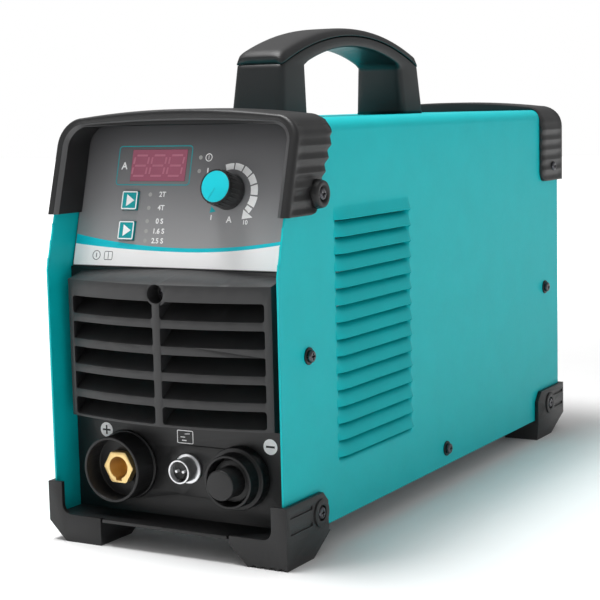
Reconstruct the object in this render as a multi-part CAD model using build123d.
from build123d import *
import os
from math import atan, cos, degrees, radians, sin

os.makedirs("parts", exist_ok=True)

# A TIG inverter welding power source, modelled as the pieces it is assembled from.
# While a piece is drawn, x is to the right seen from the front, y runs to the rear from the
# cover's front edge and z is the height above the floor. place() moves the finished piece so
# that the origin is on the floor, midway along the cover and midway across it.

# ---- case and sheet metal ----
CASE_W = 160.0            # outside width of the folded cover
CASE_L = 430.0            # length of the cover
CASE_TOP = 250.0          # height of the cover's top
EDGE_Z = 14.4             # height of the cover's lower edges
SHEET = 1.2               # cover sheet thickness
BEND_R = 8.0              # outside radius of the two top bends
KNEE_Z = 164.4            # the front leans back above this height
LEAN = 0.29               # rearward run of the cover's front edge per mm of rise
TRAY_SHEET = 1.5          # base tray sheet thickness
TRAY_FLANGE = 22.0        # height of the tray's side flanges
SLIDE_GAP = 0.3           # room between pieces that slide over each other
TRAY_FRONT = 26.5         # where the tray's plate starts
PANEL_BACK_Y = 424.0      # inner face of the rear panel
REAR_SHEET = 3.0          # rear panel thickness

# ---- louvres in both side walls ----
LOUVRE_COUNT = 15
LOUVRE_PITCH = 10.0
LOUVRE_TOP_Z = 191.0      # lip of the highest louvre
LOUVRE_Y0 = 65.0
LOUVRE_Y1 = 165.0
LOUVRE_RISE = 5.6         # height of one hood above its lip
LOUVRE_OUT = 2.6          # how far the lip stands out of the wall
LOUVRE_END = 1.2          # thickness of the closed ends
LOUVRE_MOUTH = 4.4        # height of the slot behind the hood

# ---- screws, washers and clip nuts: one M4 size throughout ----
SCREW_R = 2.0
SCREW_HOLE_R = 2.2
SCREW_LENGTH = 12.0
HEAD_R = 3.6
HEAD_H = 2.4
CROSS_W = 1.0             # width of the cross recess
CROSS_L = 4.2
CROSS_DEPTH = 1.2
WASHER_R = 5.0
WASHER_T = 1.0
NUT_SIDE = 8.0
NUT_T = 3.0
NUT_GAP = 0.05            # radial room in the nut's thread
COVER_SCREWS = [(31.6, 116.4), (402.0, 115.0), (217.5, 25.7)]
UPPER_GUARD_SCREWS = [(41.5, 207.6), (414.0, 207.0)]
LOWER_GUARD_SCREWS = [(37.0, 24.5), (404.0, 24.5)]

# ---- slanted control panel ----
PANEL_Y = 23.0            # label surface at the knee
PANEL_LEAN = 0.27         # rearward run of the label per mm of rise
PANEL_HALF = 78.5         # half width of the front mouldings
PLATE_T = 2.5
PANEL_V_TOP = 86.8        # length of the slanted plate
LABEL_T = 0.4
LABEL_HALF = 77.8
FLANGE_T = 2.0
FLANGE_DEPTH = 16.0
WINDOW = (-23.4, 61.8, 39.2, 19.0)       # centre x, centre up the slope, width, height
WINDOW_GAP = 0.15
BUTTON_SIZE = 11.1
BUTTON_X = -40.6
BUTTON_V = (40.2, 22.0)
BUTTON_PROUD = 1.6
BUTTON_TRAVEL = 0.8
BUTTON_GAP = 0.35
BUTTON_RIM = 1.4          # rim that keeps the cap behind the plate
LED_POINTS = [(-27, 44.1), (-27, 36.0), (-27, 28.0), (-27, 22.0), (-27, 16.2), (5.8, 66.4), (5.8, 58.3)]
LED_R = 1.3
LED_GAP = 0.3
BOARD_BACK = 12.4         # front face of the control board behind the label
BOARD_T = 1.6
BOARD_HALF = 60.0
BOARD_V0 = 6.0
BOARD_V1 = 78.0
SPACER_R = 3.0
SPACER_POINTS = [(-56, 10), (56, 10), (-56, 74), (56, 74)]
KNOB_X = 28.3
KNOB_V = 45.9
KNOB_R = 10.8
KNOB_FACE_R = 10.0
KNOB_L = 14.6
KNOB_OFF = 1.2            # room between the knob and the label
KNOB_RIBS = 24
KNOB_RIB_R = 0.55
KNOB_BORE_L = 10.0
CAP_R = 9.2
CAP_T = 1.0
SHAFT_R = 3.0
SHAFT_GAP = 0.05
BUSH_R = 3.6
POT_R = 8.0
POT_T = 6.4
TACT_SIDE = 6.0
DIGIT_COUNT = 3

# ---- bowed air grille ----
BOW_R = 230.0             # radius of the front face in plan
BOW_Y = -3.0              # front face on the centre line
GRILLE_Z0 = 75.8
GRILLE_Z1 = 158.0
GRILLE_BACK_Y = 22.0
GRILLE_FOOT_Z = 72.4      # underside where it meets the socket panel
GRILLE_WALL = 3.0
GRILLE_HALF = 70.5         # half width of the grille; the front panel shows beside it
SLOT_ROWS = 5
SLOT_PITCH = 15.2
SLOT_H = 10.4
SLOT_TOP_Z = 148.4
SLOT_X0 = 2.5
SLOT_X1 = 66.5
SLOT_CORNER = 1.8
BLADE_T = 1.6
BLADE_DEPTH = 12.0
BLADE_RISE = 8.8
WELL_R = 5.5              # recess for the grille's screw
WELL_Z = 152.6
WELL_DEPTH = 11.0
WELL_WALL = 1.6

# ---- socket panel and lip ----
SOCKET_Y = 22.0
SOCKET_T = 2.5
SOCKET_Z1 = 72.4
LIP_Z0 = 14.4
LIP_Z1 = 16.2
LIP_FRONT = -3.0
LIP_HALF = 43.5
BOSS_RISE = 1.0
BOSS_R = 15.3
BOSS_X = 1.0
PLUS_X = -41.0
TORCH_X = 40.0
SOCKET_Z = 45.0
PLUS_FRONT = 4.0
PLUS_R = 19.8
PLUS_BASE_R = 21.0
TORCH_FRONT = 5.0
TORCH_R = 15.7
TORCH_BASE_R = 18.5
TORCH_BASE_FRONT = 14.0
RING_WALL = 1.8
WELL_FLOOR = 17.0         # floor of the socket wells
STEM_R = 13.8
STEM_HOLE_R = 14.0
STEM_END = 31.0
RING_NUT_R = 18.0
RING_NUT_T = 5.0
INSERT_R = 9.0
HEX_R = 10.7              # across the rounded corners of the brass head
HEX_FLAT = 9.9
INSERT_FRONT = 11.4
PLUG_BORE_R = 6.55
PLUG_BORE_L = 22.0
KEY_W = 4.0
KEY_R = 8.0
STUB_R = 5.0
STUB_END = 46.0
OUTLET_STUB_R = 7.0
OUTLET_FRONT = 0.0
GAS_BORE_R = 2.5
BARB_R = 4.0
BARB_END = 54.0
CAP_OUT_R = 8.9
CAP_WALL_GAP = 0.4
CAP_FRONT = -3.2
CAP_END = 15.0
CAP_FLANGE_R = 12.4
CAP_FLANGE_Y = 10.0
CAP_FLANGE_T = 1.6
CONN_X = 3.3
CONN_Z = 46.6
CONN_R = 7.2
CONN_FRONT = 10.0
CONN_WALL = 1.1
CONN_FLOOR = 13.5
CONN_FLANGE_R = 9.0
CONN_FLANGE_T = 1.6
CONN_STEM_R = 6.4
CONN_END = 34.0
CONN_NUT_R = 9.5
CONN_NUT_T = 2.5
PIN_R = 0.9
PIN_OFF = 2.4

# ---- guards and feet ----
GUARD_HALF = 83.0         # half width over the rubber guards
GUARD_Z0 = 196.3
GUARD_CROWN = 257.0
GUARD_SHOULDER = 253.0
GUARD_CORNER = 15.0
GUARD_LEAD = 5.0          # how far the front guard stands ahead of the cover's edge
GUARD_OPEN = 75.5         # half width of the front guard's opening
GUARD_OPEN_Z = 248.0
GUARD_OPEN_R = 11.0
FRONT_SCALLOP = [(35.5, 196.3), (43.5, 198.6), (48.5, 203.4), (50.2, 210.5), (52.2, 217.0), (56.5, 226.0), (60.0, 233.5),
                 (62.5, 240.5), (64.0, 246.0), (62.5, 252.0), (62.5, 258.0)]
PLATE_CLEAR_Y = 38.95      # the guard screws' nuts stay behind the slanted plate
RIB_PITCH = 7.0
RIB_DEPTH = 0.9
RIB_W = 2.0
BOSS_SCREW_R = 8.2
BOSS_SCREW_OUT = 1.0      # how far the screws' pads stand out of the feet
HOOD_PAD_OUT = 4.0        # and out of the front guard
FRONT_SCREW_SEAT = 84.5   # half distance between the seats of the front guard's screws
REAR_GUARD_Y0 = 392.0
REAR_END = 434.0
REAR_LIP = 3.2
FOOT_TOP = 36.0
FOOT_PARTING = 12.0
FOOT_Y0 = -3.0
FOOT_Y1 = 46.0
FOOT_INNER = 45.0
FOOT_ARM_IN = 73.0
FOOT_ARM_TOP = 16.6
FOOT_CHAMFER = 12.0
FOOT_CORNER_R = 6.0
TOOTH_COUNT = 4
TOOTH_W = 3.0
TOOTH_DEPTH = 1.2
REAR_FOOT_Y0 = 380.0
GROOVE_ZS = (19.5, 29.0)

# ---- handle ----
HANDLE_Y0 = 113.0
HANDLE_Y1 = 318.0
HANDLE_TOP_Y0 = 118.0
HANDLE_TOP_Y1 = 314.5
SEAM_END_Z = 283.0
SEAM_MID_Z = 303.0
GRIP_END_Z = 287.5
GRIP_MID_Z = 308.5
LEG_FRONT_Y = 147.0
LEG_REAR_Y = 284.5
GAP_END_Z = 284.0
GAP_MID_Z = 295.5
HANDLE_BASE_HALF = 19.5
HANDLE_HALF = 17.0
GRIP_CORNER = 6.0
HANDLE_SCREW_YS = (124.0, 136.0, 294.0, 307.0)
GRIP_INSET = 2.0

# ---- rear equipment ----
FAN_SIDE = 119.0
FAN_Z = 92.0
FAN_DEPTH = 25.0
FAN_BORE_R = 57.5
FAN_HUB_R = 20.0
FAN_BLADE_R = 55.5
FAN_BLADES = 7
FAN_SHAFT_R = 2.0
FAN_SCREW_AT = 52.5
FAN_SCREW_L = 32.0
FAN_PLATE = 4.0
WIRE_R = 0.9
GUARD_RINGS = (16.0, 29.0, 42.0, 55.0)
SWITCH_X = 38.0
SWITCH_Z = 203.0
SWITCH_W = 22.0
SWITCH_H = 29.0
SWITCH_BEZEL = 2.5
SWITCH_DEPTH = 22.0
SWITCH_SWING = 12.0
GLAND_X = -38.0
GLAND_Z = 208.0
GLAND_HEX = 13.0
GLAND_STEM_R = 11.0
GLAND_BORE_R = 6.0
GAS_X = -55.0
GAS_Z = 172.0
GAS_STEM_R = 6.0
HOSE_PIN_R = 4.5
HOSE_PIN_L = 14.0
HOSE_TIP_L = 4.0
EARTH_X = 58.0
EARTH_Z = 166.0
EARTH_R = 3.0
EARTH_SHANK_R = 3.3       # through the panel and its nut; the free end is EARTH_R
EARTH_L = 22.0

# ---- inside ----
BOARD_Z = 161.0
BOARD_Y0 = 68.0
BOARD_Y1 = 375.0
BOARD_X = 74.0
PILLAR_R = 3.5
PILLAR_X = 71.0
PILLAR_YS = (75.0, 200.0, 368.0)
SINK_X0 = 8.0
SINK_X1 = 66.0
SINK_Y0 = 232.0
SINK_Y1 = 360.0
SINK_BASE = 6.0
SINK_TOP = 156.0
SINK_FIN_Z = 100.0
SINK_FIN_T = 2.0
SINK_FIN_PITCH = 8.0
HOSE_R = 5.5
HOSE_BEND_R = 9.0
STRIP_W = 18.0
STRIP_T = 2.0
STRIP_Y = 38.0

TILT = degrees(atan(PANEL_LEAN))
PANEL = Plane(origin=(0, PANEL_Y, KNEE_Z), x_dir=(1, 0, 0), z_dir=(0, -cos(radians(TILT)), sin(radians(TILT))))
HALF = CASE_W / 2
WALL_IN = HALF - SHEET


# ---------- drawing helpers ----------
def block(x0, x1, y0, y1, z0, z1):
    """Box between two corners."""
    size = (x1 - x0, y1 - y0, z1 - z0)
    return Pos(x0, y0, z0) * Box(*size, align=(Align.MIN, Align.MIN, Align.MIN))


def side_prism(points, x0, x1):
    """Polygon of (y, z) points carried from x0 to x1."""
    face = Face(Wire.make_polygon([(x0, y, z) for y, z in points], close=True))
    return Solid.extrude(face, Vector(x1 - x0, 0, 0))


def front_prism(points, y0, y1):
    """Polygon of (x, z) points carried from y0 to y1."""
    face = Face(Wire.make_polygon([(x, y0, z) for x, z in points], close=True))
    return Solid.extrude(face, Vector(0, y1 - y0, 0))


def rod(radius, start, length, toward):
    """Cylinder that starts at a point and runs along one of the row's directions."""
    turns = {"x": (0, 90, 0), "-x": (0, -90, 0), "y": (-90, 0, 0), "-y": (90, 0, 0), "z": (0, 0, 0)}
    shape = Cylinder(radius, length, align=(Align.CENTER, Align.CENTER, Align.MIN))
    return Pos(*start) * Rot(*turns[toward]) * shape


def turned(points, x, z):
    """Solid of revolution about a line along y through (x, z), from (radius, y) points."""
    face = Face(Wire.make_polygon([(r, y, 0) for r, y in points], close=True))
    return Pos(x, 0, z) * Solid.revolve(face, 360, Axis.Y)


def hexagon(across_corners_r, start, length):
    """Hexagonal prism that runs along +y."""
    prism = extrude(RegularPolygon(across_corners_r, 6), length)
    return Pos(*start) * Rot(-90, 0, 0) * prism


def on_panel(u, v, w, shape):
    """Put a shape drawn about the origin at (u, v, w) of the slanted panel."""
    return PANEL * Pos(u, v, w) * shape


def panel_box(u, v, w0, w1, width, height):
    """Box on the slanted panel between two depths."""
    return on_panel(u, v, w0, Box(width, height, w1 - w0, align=(Align.CENTER, Align.CENTER, Align.MIN)))


def panel_rod(u, v, w0, w1, radius):
    """Round bar normal to the slanted panel between two depths."""
    return on_panel(u, v, w0, Cylinder(radius, w1 - w0, align=(Align.CENTER, Align.CENTER, Align.MIN)))


def both_sides(shape):
    """The shape and its mirror image across the machine's centre plane."""
    return [shape, mirror(shape, about=Plane.YZ)]


def group(shapes):
    """Separate solids kept together in one node."""
    return Compound(children=[s if isinstance(s, Solid) else s.solids()[0] for s in shapes])


ORIGIN_Y = (CAP_FRONT + PANEL_BACK_Y + REAR_SHEET + 5 + HOSE_PIN_L + HOSE_TIP_L) / 2


def place(shape):
    """Move from drawing coordinates to the row frame."""
    return Pos(0, -ORIGIN_Y, 0) * shape


def cover_edge(z):
    """y of the cover's front edge at height z."""
    return max(0.0, (z - KNEE_Z) * LEAN)


# ---------- sheet metal ----------
def arch_section(half, z0, z1, corner, y0, y1):
    """Inverted-U block: straight sides, flat top, two rounded top corners."""
    outline = front_prism([(-half, z0), (-half, z1), (half, z1), (half, z0)], y0, y1)
    edges = outline.edges().filter_by(Axis.Y).sort_by(Axis.Z)[-2:]
    return fillet(edges, corner)


def inside_cover(y0, y1):
    """Space that fits inside the cover with sliding room."""
    shrink = SHEET + SLIDE_GAP
    return arch_section(HALF - shrink, 0, CASE_TOP - shrink, BEND_R - shrink, y0, y1)


def louvre_hood(lip_z):
    """One pressed-out hood on the right wall, open underneath."""
    root = HALF - SHEET / 2
    tip = HALF + LOUVRE_OUT
    skin = SHEET * 0.9
    profile = [(root, lip_z + LOUVRE_RISE), (HALF, lip_z + LOUVRE_RISE), (tip, lip_z + skin), (tip, lip_z),
               (tip - skin, lip_z), (tip - skin, lip_z + skin / 2), (root, lip_z + LOUVRE_MOUTH + 0.1)]
    cheek = [(root, lip_z + LOUVRE_RISE), (HALF, lip_z + LOUVRE_RISE), (tip, lip_z + skin), (tip, lip_z), (root, lip_z)]
    hood = front_prism(profile, LOUVRE_Y0, LOUVRE_Y1)
    ends = [front_prism(cheek, LOUVRE_Y0, LOUVRE_Y0 + LOUVRE_END),
            front_prism(cheek, LOUVRE_Y1 - LOUVRE_END, LOUVRE_Y1)]
    return [hood] + ends


def cover():
    """Folded sheet over both sides and the top, with louvres and screw holes."""
    outer = arch_section(HALF, EDGE_Z, CASE_TOP, BEND_R, 0, CASE_L)
    inner = arch_section(WALL_IN, EDGE_Z - 1, CASE_TOP - SHEET, BEND_R - SHEET, -1, CASE_L + 1)
    top = CASE_TOP + 1
    wedge = side_prism([(-1, KNEE_Z), (0, KNEE_Z), (cover_edge(top), top), (-1, top)], -HALF - 1, HALF + 1)
    cuts = []
    hoods = []
    for i in range(LOUVRE_COUNT):
        lip = LOUVRE_TOP_Z - i * LOUVRE_PITCH
        cuts += both_sides(block(HALF - 2 * SHEET, HALF + SHEET, LOUVRE_Y0 + LOUVRE_END, LOUVRE_Y1 - LOUVRE_END,
                                 lip, lip + LOUVRE_MOUTH))
        for piece in louvre_hood(lip):
            hoods += both_sides(piece)
    for y, z in COVER_SCREWS + UPPER_GUARD_SCREWS + LOWER_GUARD_SCREWS:
        cuts += both_sides(rod(SCREW_HOLE_R, (HALF - 2 * SHEET, y, z), 3 * SHEET, "x"))
    for y in HANDLE_SCREW_YS:
        cuts.append(rod(SCREW_HOLE_R, (0, y, CASE_TOP - 2 * SHEET), 3 * SHEET, "z"))
    return (outer - inner - wedge - cuts) + hoods


def base_tray():
    """Folded tray that everything stands on, with side flanges inside the cover."""
    half = WALL_IN - SLIDE_GAP
    plate = block(-half, half, TRAY_FRONT, PANEL_BACK_Y, EDGE_Z, EDGE_Z + TRAY_SHEET)
    flange = block(half - TRAY_SHEET, half, TRAY_FRONT, PANEL_BACK_Y, EDGE_Z, EDGE_Z + TRAY_FLANGE)
    tray = plate + both_sides(flange)
    for y, z in [COVER_SCREWS[2]] + LOWER_GUARD_SCREWS:
        tray -= both_sides(rod(SCREW_HOLE_R, (half - 2 * TRAY_SHEET, y, z), 3 * TRAY_SHEET, "x"))
    return tray


# ---------- front mouldings ----------
def front_panel():
    """One moulding: slanted plate, socket panel, side flanges and the lip at the bottom."""
    plate = on_panel(0, 0, -PLATE_T - LABEL_T, Box(2 * PANEL_HALF, PANEL_V_TOP, PLATE_T,
                                                 align=(Align.CENTER, Align.MIN, Align.MIN)))
    back = SOCKET_Y + SOCKET_T
    sockets = block(-PANEL_HALF, PANEL_HALF, SOCKET_Y, back, LIP_Z0, SOCKET_Z1)
    deep = back + FLANGE_DEPTH
    top_z = KNEE_Z + PANEL_V_TOP * cos(radians(TILT))
    top_y = PANEL_Y + PANEL_V_TOP * sin(radians(TILT)) + PLATE_T / 2
    flange_shape = [(back - PLATE_T / 2, LIP_Z0 + 2 * TRAY_SHEET), (deep, LIP_Z0 + 2 * TRAY_SHEET), (deep, KNEE_Z),
                    (top_y + FLANGE_DEPTH, top_z - 1), (top_y, top_z - 1), (back, KNEE_Z)]
    flange = side_prism(flange_shape, PANEL_HALF - FLANGE_T, PANEL_HALF)
    tray_room = block(PANEL_HALF - 2 * FLANGE_T, PANEL_HALF + 1, TRAY_FRONT - SLIDE_GAP, deep + 1,
                      LIP_Z0, EDGE_Z + TRAY_FLANGE + SLIDE_GAP)
    skirt = block(-PANEL_HALF, PANEL_HALF, SOCKET_Y, back, GRILLE_Z1 - 7, KNEE_Z - 0.3)
    wing = block(GRILLE_HALF - 2, PANEL_HALF, SOCKET_Y, back, SOCKET_Z1 - 1, GRILLE_Z1)
    lip = block(-PANEL_HALF, PANEL_HALF, SLIDE_GAP, SOCKET_Y + 1, LIP_Z0, LIP_Z1)
    nose = block(-LIP_HALF, LIP_HALF, LIP_FRONT, 1, LIP_Z0, LIP_Z1)
    boss_span = TORCH_X - BOSS_X
    boss = Pos(BOSS_X + boss_span / 2, SOCKET_Y, SOCKET_Z) * Rot(90, 0, 0) * extrude(
        SlotCenterToCenter(boss_span, 2 * BOSS_R), BOSS_RISE)
    body = plate + sockets + both_sides(flange - tray_room) + both_sides(wing) + [skirt, lip, nose, boss]
    body -= [rod(STEM_HOLE_R, (x, SOCKET_Y - 2, SOCKET_Z), SOCKET_T + 4, "y") for x in (PLUS_X, TORCH_X)]
    body -= rod(CONN_STEM_R + SLIDE_GAP, (CONN_X, SOCKET_Y - 2, CONN_Z), SOCKET_T + 4, "y")
    body -= rod(SCREW_HOLE_R, (0, SOCKET_Y, WELL_Z), 2 * SOCKET_T + 2, "y")
    for y, z in [COVER_SCREWS[0], UPPER_GUARD_SCREWS[0]]:
        body -= both_sides(rod(SCREW_HOLE_R, (PANEL_HALF - 2 * FLANGE_T, y, z), 4 * FLANGE_T, "x"))
    u, v, width, height = WINDOW
    body -= panel_box(u, v, -2 * PLATE_T, 1, width + 2 * WINDOW_GAP, height + 2 * WINDOW_GAP)
    hole = BUTTON_SIZE + 2 * BUTTON_GAP
    body -= [panel_box(BUTTON_X, v, -2 * PLATE_T, 1, hole, hole) for v in BUTTON_V]
    body -= [panel_rod(u, v, -2 * PLATE_T, 1, LED_R + LED_GAP) for u, v in LED_POINTS]
    body -= panel_rod(KNOB_X, KNOB_V, -2 * PLATE_T, 1, BUSH_R + SLIDE_GAP)
    return body & inside_cover(-10, 100)


def bowed(points, span):
    """Turn (radius, z) points about the upright axis that the bowed front is struck from."""
    axis_y = BOW_Y + BOW_R
    face = Face(Wire.make_polygon([(0, axis_y - r, z) for r, z in points], close=True))
    half = Solid.revolve(face, span, Axis((0, axis_y, 0), (0, 0, 1)))
    return Pos(0, axis_y, 0) * Rot(0, 0, -span / 2) * Pos(0, -axis_y, 0) * half


def air_grille():
    """Bowed front with two columns of slots, sloping blades and a well for its screw."""
    span = 60
    back_r = BOW_R - (GRILLE_BACK_Y - BOW_Y) - 20
    slope = (KNEE_Z - GRILLE_Z1) / (PANEL_Y - BOW_Y)
    drop = (GRILLE_Z0 - GRILLE_FOOT_Z) / (SOCKET_Y - BOW_Y)
    reach = BOW_R - back_r
    outer = [(BOW_R, GRILLE_Z0), (BOW_R, GRILLE_Z1), (back_r, GRILLE_Z1 + slope * reach),
             (back_r, GRILLE_Z0 - drop * reach)]
    inner_r = BOW_R - GRILLE_WALL
    cavity = [(inner_r, GRILLE_Z0 + GRILLE_WALL - 0.4), (inner_r, GRILLE_Z1 - GRILLE_WALL),
              (back_r - 1, GRILLE_Z1 + slope * reach - GRILLE_WALL),
              (back_r - 1, GRILLE_Z0 - drop * reach + GRILLE_WALL - 0.4)]
    room = block(-GRILLE_HALF, GRILLE_HALF, BOW_Y - 1, GRILLE_BACK_Y, 0, CASE_TOP)
    cheek_room = block(-GRILLE_HALF + GRILLE_WALL, GRILLE_HALF - GRILLE_WALL, BOW_Y - 1, CASE_L, 0, CASE_TOP)
    hollow = bowed(cavity, span) & cheek_room
    shell = (bowed(outer, span) - hollow) & room
    blades = []
    slots = []
    width = SLOT_X1 - SLOT_X0
    for row in range(SLOT_ROWS):
        z0 = SLOT_TOP_Z - SLOT_H - row * SLOT_PITCH
        slot = RectangleRounded(width, SLOT_H, 1.0)
        if row in (0, SLOT_ROWS - 1):
            slot = RectangleRounded(width, SLOT_H, SLOT_CORNER)
        for side in (-1, 1):
            centre = side * (SLOT_X0 + SLOT_X1) / 2
            slots.append(Pos(centre, BOW_Y - 2, z0 + SLOT_H / 2) * Rot(-90, 0, 0) * extrude(slot, 18))
        root = BOW_R - GRILLE_WALL / 2
        tip = root - BLADE_DEPTH
        blade = [(root, z0 - BLADE_T), (root, z0), (tip, z0 + BLADE_RISE), (tip, z0 + BLADE_RISE - BLADE_T)]
        blades.append(bowed(blade, span) & cheek_room)
    shell = (shell - slots) + blades
    post = block(-SLOT_X0, SLOT_X0, BOW_Y + 1, BOW_Y + BLADE_DEPTH, GRILLE_Z0, GRILLE_Z1 - 2)
    well = rod(WELL_R + WELL_WALL, (0, BOW_Y + 1, WELL_Z), GRILLE_BACK_Y - BOW_Y - 1, "y") & room
    roof = bowed(outer, span)
    shell = shell + (post & roof) + (well & roof)
    shell -= rod(WELL_R, (0, BOW_Y - 2, WELL_Z), WELL_DEPTH + 2, "y")
    shell -= rod(SCREW_HOLE_R, (0, BOW_Y, WELL_Z), CASE_L, "y")
    return shell


def control_label():
    """Printed film on the slanted plate, cut out round the controls."""
    film = on_panel(0, 0.4, -LABEL_T, Box(2 * LABEL_HALF, PANEL_V_TOP - 1, LABEL_T,
                                        align=(Align.CENTER, Align.MIN, Align.MIN)))
    u, v, width, height = WINDOW
    film -= panel_box(u, v, -1, 1, width + 2 * WINDOW_GAP, height + 2 * WINDOW_GAP)
    hole = BUTTON_SIZE + 2 * BUTTON_GAP
    film -= [panel_box(BUTTON_X, v, -1, 1, hole, hole) for v in BUTTON_V]
    film -= panel_rod(KNOB_X, KNOB_V, -1, 1, BUSH_R + SLIDE_GAP)
    return film & inside_cover(-10, 100)


def display_window():
    """Tinted filter with a rim behind the plate."""
    u, v, width, height = WINDOW
    pane = panel_box(u, v, -PLATE_T - LABEL_T, 0.1, width, height)
    rim = panel_box(u, v, -PLATE_T - LABEL_T - 1, -PLATE_T - LABEL_T, width + 4, height + 4)
    return pane + rim


def display_module():
    """Three-digit display block on the control board."""
    u, v, width, height = WINDOW
    body = panel_box(u, v, -BOARD_BACK, -PLATE_T - LABEL_T - 1.2, width - 1, height)
    for i in range(DIGIT_COUNT - 1):
        step = (width - 1) / DIGIT_COUNT
        at = u - (width - 1) / 2 + step * (i + 1)
        body -= panel_box(at, v, -PLATE_T - LABEL_T - 1.6, 0, 0.5, height)
    return body


def status_leds():
    """Seven indicator lamps standing on the control board, ending under the film."""
    return group([panel_rod(u, v, -BOARD_BACK, -LABEL_T, LED_R) for u, v in LED_POINTS])


def button_cap(v):
    """Square cap with a retaining rim and a short plunger."""
    back = -PLATE_T - LABEL_T
    cap = panel_box(BUTTON_X, v, back - 1, BUTTON_PROUD, BUTTON_SIZE, BUTTON_SIZE)
    rim = panel_box(BUTTON_X, v, back - BUTTON_RIM, back, BUTTON_SIZE + 2 * BUTTON_RIM, BUTTON_SIZE + 2 * BUTTON_RIM)
    plunger = panel_rod(BUTTON_X, v, back - 2 * BUTTON_RIM, back - BUTTON_RIM, TACT_SIDE / 2)
    return cap + rim + plunger


def tact_switches():
    """Two board switches under the button caps."""
    top = -PLATE_T - LABEL_T - 2 * BUTTON_RIM - BUTTON_TRAVEL - NUT_GAP
    return group([panel_box(BUTTON_X, v, -BOARD_BACK, top, TACT_SIDE, TACT_SIDE) for v in BUTTON_V])


def control_board():
    """Circuit board parallel to the slanted plate."""
    board = on_panel(0, BOARD_V0, -BOARD_BACK - BOARD_T, Box(2 * BOARD_HALF, BOARD_V1 - BOARD_V0, BOARD_T,
                                                         align=(Align.CENTER, Align.MIN, Align.MIN)))
    chip = panel_box(25, 22, -BOARD_BACK - BOARD_T - 2.5, -BOARD_BACK - BOARD_T, 18, 18)
    plug = panel_box(-20, 60, -BOARD_BACK - BOARD_T - 8, -BOARD_BACK - BOARD_T, 30, 6)
    return board + chip + plug


def board_spacers():
    """Four spacers between the slanted plate and the control board."""
    return group([panel_rod(u, v, -BOARD_BACK, -PLATE_T - LABEL_T, SPACER_R) for u, v in SPACER_POINTS])


def potentiometer():
    """Current setting potentiometer with its bush through the plate."""
    body = panel_rod(KNOB_X, KNOB_V, -BOARD_BACK, -BOARD_BACK + POT_T, POT_R)
    bush = panel_rod(KNOB_X, KNOB_V, -BOARD_BACK + POT_T, KNOB_OFF / 2, BUSH_R)
    bore = panel_rod(KNOB_X, KNOB_V, -BOARD_BACK + BOARD_T, KNOB_OFF, SHAFT_R + SHAFT_GAP)
    return body + bush - bore


def knob_shaft():
    """Shaft that the knob is pressed on."""
    return panel_rod(KNOB_X, KNOB_V, -BOARD_BACK + BOARD_T + NUT_GAP, KNOB_OFF + KNOB_BORE_L, SHAFT_R)


def current_knob():
    """Ribbed knob with a blind bore for the shaft and a seat for the coloured disc."""
    cone = Cone(KNOB_R, KNOB_FACE_R, KNOB_L, align=(Align.CENTER, Align.CENTER, Align.MIN))
    ribs = [Rot(0, 0, 360 / KNOB_RIBS * i) * Pos(KNOB_FACE_R, 0, 0) * Cylinder(
        KNOB_RIB_R, KNOB_L - 2, align=(Align.CENTER, Align.CENTER, Align.MIN)) for i in range(KNOB_RIBS)]
    bore = Cylinder(SHAFT_R, KNOB_BORE_L, align=(Align.CENTER, Align.CENTER, Align.MIN))
    skirt = Pos(0, 0, -NUT_GAP) * Cylinder(BUSH_R + 1, 1, align=(Align.CENTER, Align.CENTER, Align.MIN))
    seat = Pos(0, 0, KNOB_L - CAP_T) * Cylinder(CAP_R, CAP_T + 1, align=(Align.CENTER, Align.CENTER, Align.MIN))
    return on_panel(KNOB_X, KNOB_V, KNOB_OFF, (cone + ribs) - bore - skirt - seat)


def knob_cap():
    """Coloured disc with a raised pointer, let into the knob's face."""
    disc = Cylinder(CAP_R, CAP_T, align=(Align.CENTER, Align.CENTER, Align.MIN))
    pointer = Rot(0, 0, 240) * Pos(CAP_R / 2, 0, CAP_T) * Box(CAP_R - 2, 0.8, 0.4,
                                                            align=(Align.CENTER, Align.CENTER, Align.MIN))
    return on_panel(KNOB_X, KNOB_V, KNOB_OFF + KNOB_L - CAP_T, disc + pointer)


# ---------- sockets on the front ----------
def socket_body(x, front, ring_r, base_r, base_front, seat_y, insert_r):
    """Insulating collar with an open well, a stem through the panel and a bore for the insert."""
    profile = [(insert_r, WELL_FLOOR), (ring_r - RING_WALL, WELL_FLOOR), (ring_r - RING_WALL, front),
               (ring_r, front), (ring_r, base_front), (base_r, base_front), (base_r, seat_y), (STEM_R, seat_y),
               (STEM_R, STEM_END), (insert_r, STEM_END)]
    return turned(profile, x, SOCKET_Z)


def plus_socket_insert():
    """Brass contact: hexagonal head, keyed plug bore, threaded stub for the bus strip."""
    head = hexagon(HEX_R, (PLUS_X, INSERT_FRONT, SOCKET_Z), WELL_FLOOR - INSERT_FRONT)
    head = head & rod(HEX_R * 0.97, (PLUS_X, INSERT_FRONT, SOCKET_Z), WELL_FLOOR - INSERT_FRONT, "y")
    barrel = rod(INSERT_R, (PLUS_X, WELL_FLOOR, SOCKET_Z), STRIP_Y - WELL_FLOOR, "y")
    stub = rod(STUB_R, (PLUS_X, STRIP_Y, SOCKET_Z), STUB_END - STRIP_Y, "y")
    bore = rod(PLUG_BORE_R, (PLUS_X, INSERT_FRONT - 1, SOCKET_Z), PLUG_BORE_L + 1, "y")
    key = block(PLUS_X - KEY_W / 2, PLUS_X + KEY_W / 2, INSERT_FRONT - 1, INSERT_FRONT + PLUG_BORE_L,
                SOCKET_Z - KEY_R, SOCKET_Z)
    return head + barrel + stub - bore - key


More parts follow.
